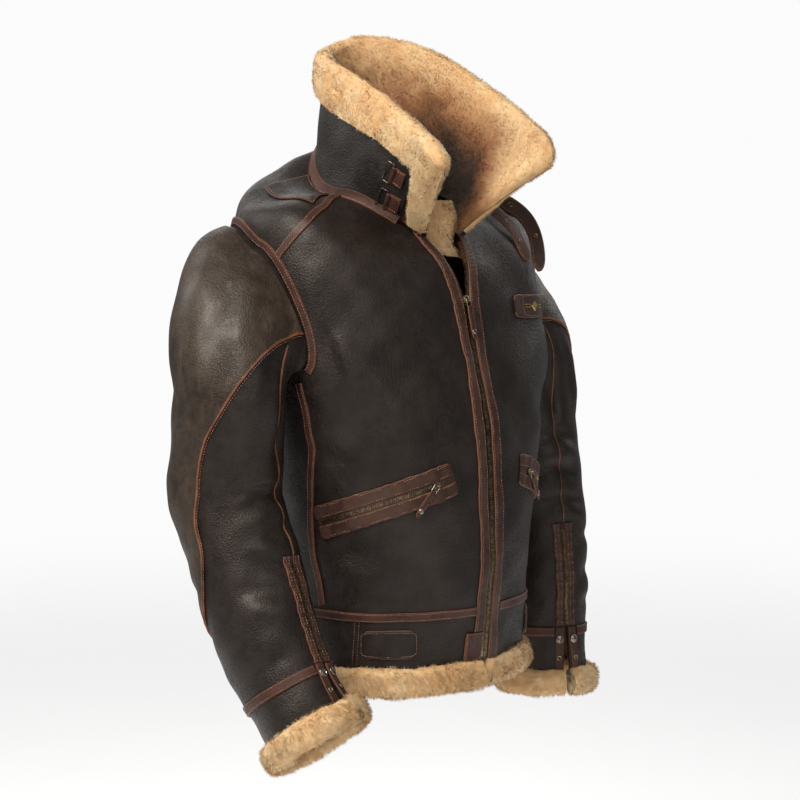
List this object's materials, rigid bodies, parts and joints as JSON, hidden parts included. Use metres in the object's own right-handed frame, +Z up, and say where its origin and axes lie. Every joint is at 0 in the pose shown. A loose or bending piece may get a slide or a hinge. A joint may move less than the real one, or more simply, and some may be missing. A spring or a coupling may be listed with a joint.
{
  "type": "shearling flying jacket",
  "caption": "Hip-length faux leather flying jacket with a fur-lined collar, fur cuffs and hem, taped seams, part-open front zip, slanted zip pockets and collar straps.",
  "frame": {"origin": "centre of the shoulders at the base of the neck, where the wearer's shoulders carry the jacket", "axes": "+Z up the wearer's back, -Y towards the jacket's front, +X to the wearer's left"},
  "size_m": [0.6575, 0.336, 0.8814],
  "materials": {
    "dark_leather": "near-black brown napless faux leather with a fine pebble grain and a soft speckled sheen",
    "overlay_leather": "lighter olive-brown faux leather, smoother and glossier, with long streaky highlights",
    "tape_leather": "red-brown faux leather tape with orange-brown edges and tan stitching",
    "fur": "golden tan curly faux shearling pile, darker at the roots",
    "antique_brass": "antiqued brass, dark with bright worn edges"
  },
  "bodies": {
    "jacket": {"front_right": "dark_leather", "sleeve_right_top": "dark_leather", "sleeve_right_under": "dark_leather", "sleeve_overlay_right": "overlay_leather", "cuff_right": "dark_leather", "cuff_fur_right": "fur", "cuff_placket_right": "tape_leather", "cuff_zip_right": "antique_brass", "cuff_tape_right": "tape_leather", "hem_fur_right": "fur", "collar_fur_right": "fur", "armhole_tape_right": "tape_leather", "shoulder_tape_right": "tape_leather", "shoulder_patch_right": "dark_leather", "side_tape_right": "tape_leather", "pocket_welt_right": "tape_leather", "pocket_zip_right": "antique_brass", "pocket_slider_right": "antique_brass", "front_left": "dark_leather", "sleeve_left_top": "dark_leather", "sleeve_left_under": "dark_leather", "sleeve_overlay_left": "overlay_leather", "cuff_left": "dark_leather", "cuff_fur_left": "fur", "cuff_placket_left": "tape_leather", "cuff_zip_left": "antique_brass", "cuff_tape_left": "tape_leather", "hem_fur_left": "fur", "collar_fur_left": "fur", "armhole_tape_left": "tape_leather", "shoulder_tape_left": "tape_leather", "shoulder_patch_left": "dark_leather", "side_tape_left": "tape_leather", "pocket_welt_left": "tape_leather", "pocket_zip_left": "antique_brass", "pocket_slider_left": "antique_brass", "back": "dark_leather", "waistband_right": "dark_leather", "waistband_left": "dark_leather", "waistband_back": "dark_leather", "collar_leather": "dark_leather", "waist_tape": "tape_leather", "zip_strip_right": "tape_leather", "zip_strip_left": "tape_leather", "front_zip_teeth": "antique_brass", "zip_end_patch": "tape_leather", "front_zip_slider": "antique_brass", "fur_flap": "fur", "chest_patch": "tape_leather", "waist_tab_right": "dark_leather", "waist_tab_left": "dark_leather", "collar_strap_front": "tape_leather", "collar_strap_back": "tape_leather", "buckle_tab_upper": "tape_leather", "buckle_tab_lower": "tape_leather"},
    "pocket_pull_right": {"pocket_pull_right": "antique_brass"},
    "pocket_pull_left": {"pocket_pull_left": "antique_brass"},
    "front_zip_pull": {"front_zip_pull": "antique_brass"},
    "buckle_frame_upper": {"buckle_frame_upper": "antique_brass"},
    "buckle_frame_lower": {"buckle_frame_lower": "antique_brass"}
  },
  "joints": [
    {"name": "pocket_pull_right_hinge", "type": "hinge", "parent": "jacket", "child": "pocket_pull_right", "pos_m": [-0.08615, -0.16413, -0.343], "axis": [-0.746, 0.2649, 0.6111], "range_deg": [0, 110]},
    {"name": "pocket_pull_left_hinge", "type": "hinge", "parent": "jacket", "child": "pocket_pull_left", "pos_m": [0.08615, -0.16413, -0.343], "axis": [-0.746, -0.2649, -0.6111], "range_deg": [0, 110]},
    {"name": "front_zip_pull_hinge", "type": "hinge", "parent": "jacket", "child": "front_zip_pull", "pos_m": [0, -0.13434, -0.12472], "axis": [-1, 0, 0], "range_deg": [0, 110]},
    {"name": "buckle_frame_upper_hinge", "type": "hinge", "parent": "jacket", "child": "buckle_frame_upper", "pos_m": [-0.0831, -0.08528, 0.02433], "axis": [-0.1697, -0.5721, 0.8025], "range_deg": [0, 60]},
    {"name": "buckle_frame_lower_hinge", "type": "hinge", "parent": "jacket", "child": "buckle_frame_lower", "pos_m": [-0.07576, -0.06884, -0.00673], "axis": [-0.1742, -0.5438, 0.8209], "range_deg": [0, 60]}
  ]
}
